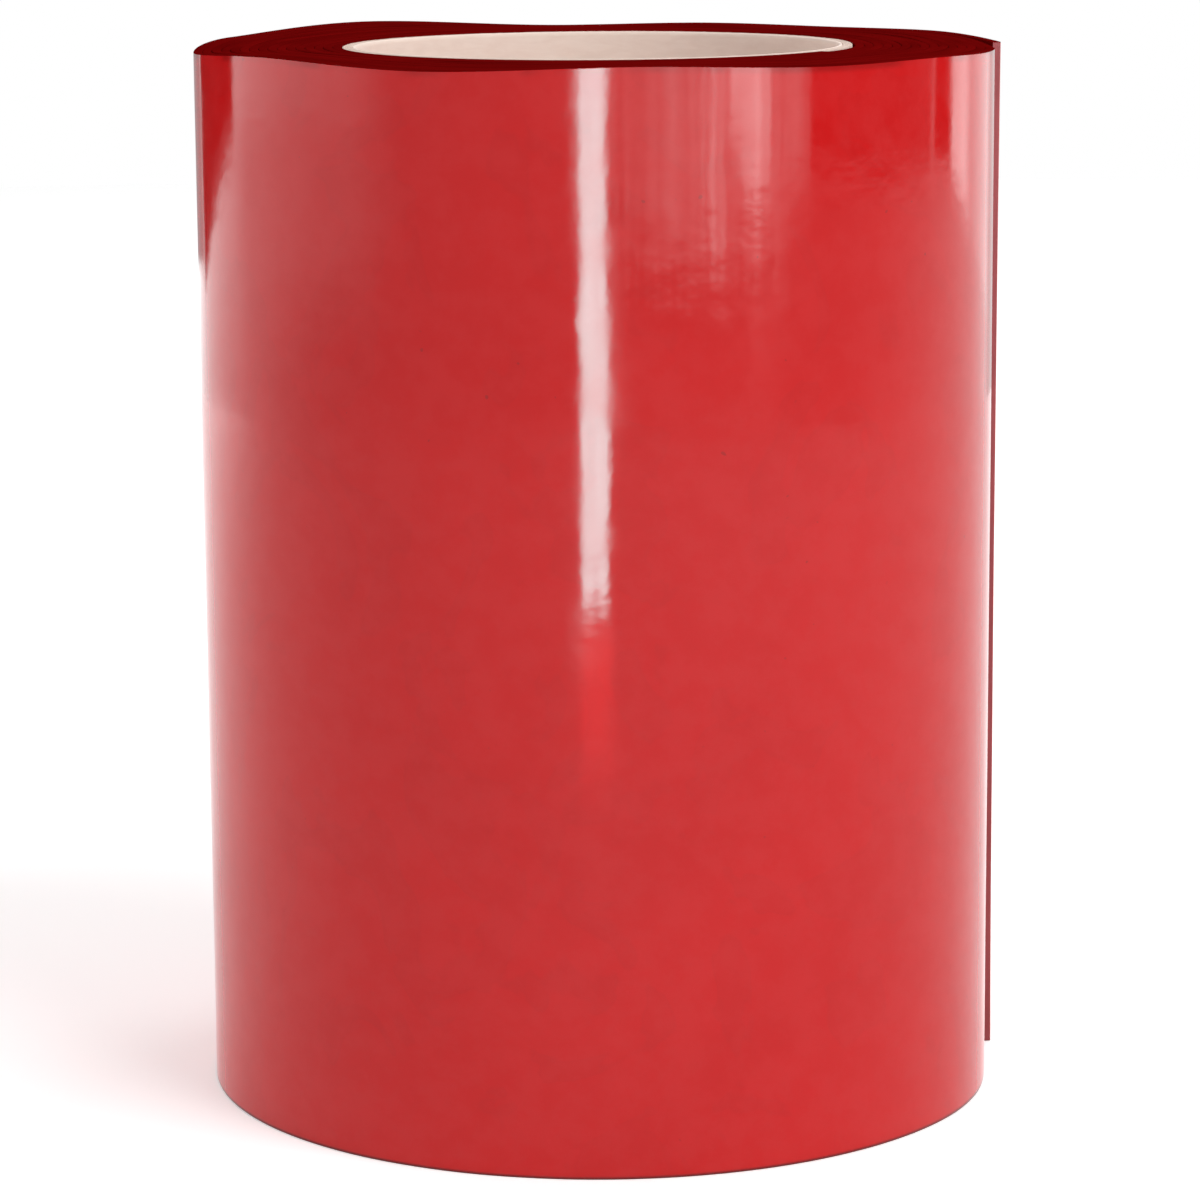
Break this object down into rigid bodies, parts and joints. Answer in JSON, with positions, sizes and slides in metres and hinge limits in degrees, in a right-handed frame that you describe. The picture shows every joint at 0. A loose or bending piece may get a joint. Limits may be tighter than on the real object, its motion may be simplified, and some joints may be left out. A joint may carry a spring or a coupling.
{
  "type": "roll of flexible vinyl sheet",
  "caption": "Upright roll of thick glossy red flexible vinyl sheet wound on a thin-walled paperboard core, with a free end that peels off the roll and straightens",
  "frame": {"origin": "centre of the roll at the end that it stands on: the middle of the bottom of its bounding box", "axes": "+Z is the roll's axis, from the end that it stands on to the other end. Seen from above, the web winds outwards clockwise and its free edge is at 8 degrees counter-clockwise from +X, so the edge faces -Y, the front"},
  "size_m": [0.2319, 0.2304, 0.301],
  "materials": {
    "vinyl": "glossy translucent red flexible vinyl, dark red on its wound edges, with faint fine rolling marks",
    "paperboard": "matt spiral-wound paperboard",
    "liner_paper": "smooth off-white paper ply",
    "tape_film": "thin double-sided tape"
  },
  "bodies": {
    "roll": {"core_tube": "paperboard", "core_liner": "liner_paper", "start_tape": "tape_film", "web_wound": "vinyl"},
    "end_01": {"free_end_01": "vinyl"},
    "end_02": {"free_end_02": "vinyl"},
    "end_03": {"free_end_03": "vinyl"},
    "end_04": {"free_end_04": "vinyl"},
    "end_05": {"free_end_05": "vinyl"},
    "end_06": {"free_end_06": "vinyl"},
    "end_07": {"free_end_07": "vinyl"},
    "end_08": {"free_end_08": "vinyl"},
    "end_09": {"free_end_09": "vinyl"},
    "end_10": {"free_end_10": "vinyl"},
    "end_11": {"free_end_11": "vinyl"},
    "end_12": {"free_end_12": "vinyl"},
    "end_13": {"free_end_13": "vinyl"},
    "end_14": {"free_end_14": "vinyl"},
    "end_15": {"free_end_15": "vinyl"},
    "end_16": {"free_end_16": "vinyl"}
  },
  "joints": [
    {"name": "peel_inner", "type": "hinge", "parent": "roll", "child": "end_01", "pos_m": [-0.11276, 0.02397, 0.15], "axis": [0, 0, 1], "range_deg": [0, 10], "stiffness_Nm_per_rad": 0.3},
    {"name": "flex_02", "type": "hinge", "parent": "end_01", "child": "end_02", "pos_m": [-0.10689, 0.04319, 0.15], "axis": [0, 0, 1], "range_deg": [0, 10], "stiffness_Nm_per_rad": 0.3},
    {"name": "flex_03", "type": "hinge", "parent": "end_02", "child": "end_03", "pos_m": [-0.09776, 0.06109, 0.15], "axis": [0, 0, 1], "range_deg": [0, 10], "stiffness_Nm_per_rad": 0.3},
    {"name": "flex_04", "type": "hinge", "parent": "end_03", "child": "end_04", "pos_m": [-0.08567, 0.07714, 0.15], "axis": [0, 0, 1], "range_deg": [0, 10], "stiffness_Nm_per_rad": 0.3},
    {"name": "flex_05", "type": "hinge", "parent": "end_04", "child": "end_05", "pos_m": [-0.07097, 0.09084, 0.15], "axis": [0, 0, 1], "range_deg": [0, 10], "stiffness_Nm_per_rad": 0.3},
    {"name": "flex_06", "type": "hinge", "parent": "end_05", "child": "end_06", "pos_m": [-0.05412, 0.10179, 0.15], "axis": [0, 0, 1], "range_deg": [0, 10], "stiffness_Nm_per_rad": 0.3},
    {"name": "flex_07", "type": "hinge", "parent": "end_06", "child": "end_07", "pos_m": [-0.03562, 0.10964, 0.15], "axis": [0, 0, 1], "range_deg": [0, 10], "stiffness_Nm_per_rad": 0.3},
    {"name": "flex_08", "type": "hinge", "parent": "end_07", "child": "end_08", "pos_m": [-0.01604, 0.11416, 0.15], "axis": [0, 0, 1], "range_deg": [0, 10], "stiffness_Nm_per_rad": 0.3},
    {"name": "peel_outer", "type": "hinge", "parent": "end_08", "child": "end_09", "pos_m": [0.00402, 0.11521, 0.15], "axis": [0, 0, 1], "range_deg": [0, 10], "stiffness_Nm_per_rad": 0.3},
    {"name": "flex_10", "type": "hinge", "parent": "end_09", "child": "end_10", "pos_m": [0.02397, 0.11276, 0.15], "axis": [0, 0, 1], "range_deg": [0, 10], "stiffness_Nm_per_rad": 0.3},
    {"name": "flex_11", "type": "hinge", "parent": "end_10", "child": "end_11", "pos_m": [0.04319, 0.10689, 0.15], "axis": [0, 0, 1], "range_deg": [0, 10], "stiffness_Nm_per_rad": 0.3},
    {"name": "flex_12", "type": "hinge", "parent": "end_11", "child": "end_12", "pos_m": [0.06109, 0.09776, 0.15], "axis": [0, 0, 1], "range_deg": [0, 10], "stiffness_Nm_per_rad": 0.3},
    {"name": "flex_13", "type": "hinge", "parent": "end_12", "child": "end_13", "pos_m": [0.07714, 0.08567, 0.15], "axis": [0, 0, 1], "range_deg": [0, 10], "stiffness_Nm_per_rad": 0.3},
    {"name": "flex_14", "type": "hinge", "parent": "end_13", "child": "end_14", "pos_m": [0.09097, 0.07107, 0.15], "axis": [0, 0, 1], "range_deg": [0, 10], "stiffness_Nm_per_rad": 0.3},
    {"name": "flex_15", "type": "hinge", "parent": "end_14", "child": "end_15", "pos_m": [0.10236, 0.05443, 0.15], "axis": [0, 0, 1], "range_deg": [0, 10], "stiffness_Nm_per_rad": 0.3},
    {"name": "flex_16", "type": "hinge", "parent": "end_15", "child": "end_16", "pos_m": [0.11103, 0.03608, 0.15], "axis": [0, 0, 1], "range_deg": [0, 10], "stiffness_Nm_per_rad": 0.3}
  ],
  "couplings": [
    {"joint": "flex_02", "follows": "peel_inner", "ratio": 1},
    {"joint": "flex_03", "follows": "peel_inner", "ratio": 1},
    {"joint": "flex_04", "follows": "peel_inner", "ratio": 1},
    {"joint": "flex_05", "follows": "peel_inner", "ratio": 1},
    {"joint": "flex_06", "follows": "peel_inner", "ratio": 1},
    {"joint": "flex_07", "follows": "peel_inner", "ratio": 1},
    {"joint": "flex_08", "follows": "peel_inner", "ratio": 1},
    {"joint": "flex_10", "follows": "peel_outer", "ratio": 1},
    {"joint": "flex_11", "follows": "peel_outer", "ratio": 1},
    {"joint": "flex_12", "follows": "peel_outer", "ratio": 1},
    {"joint": "flex_13", "follows": "peel_outer", "ratio": 1},
    {"joint": "flex_14", "follows": "peel_outer", "ratio": 1},
    {"joint": "flex_15", "follows": "peel_outer", "ratio": 1},
    {"joint": "flex_16", "follows": "peel_outer", "ratio": 1}
  ]
}
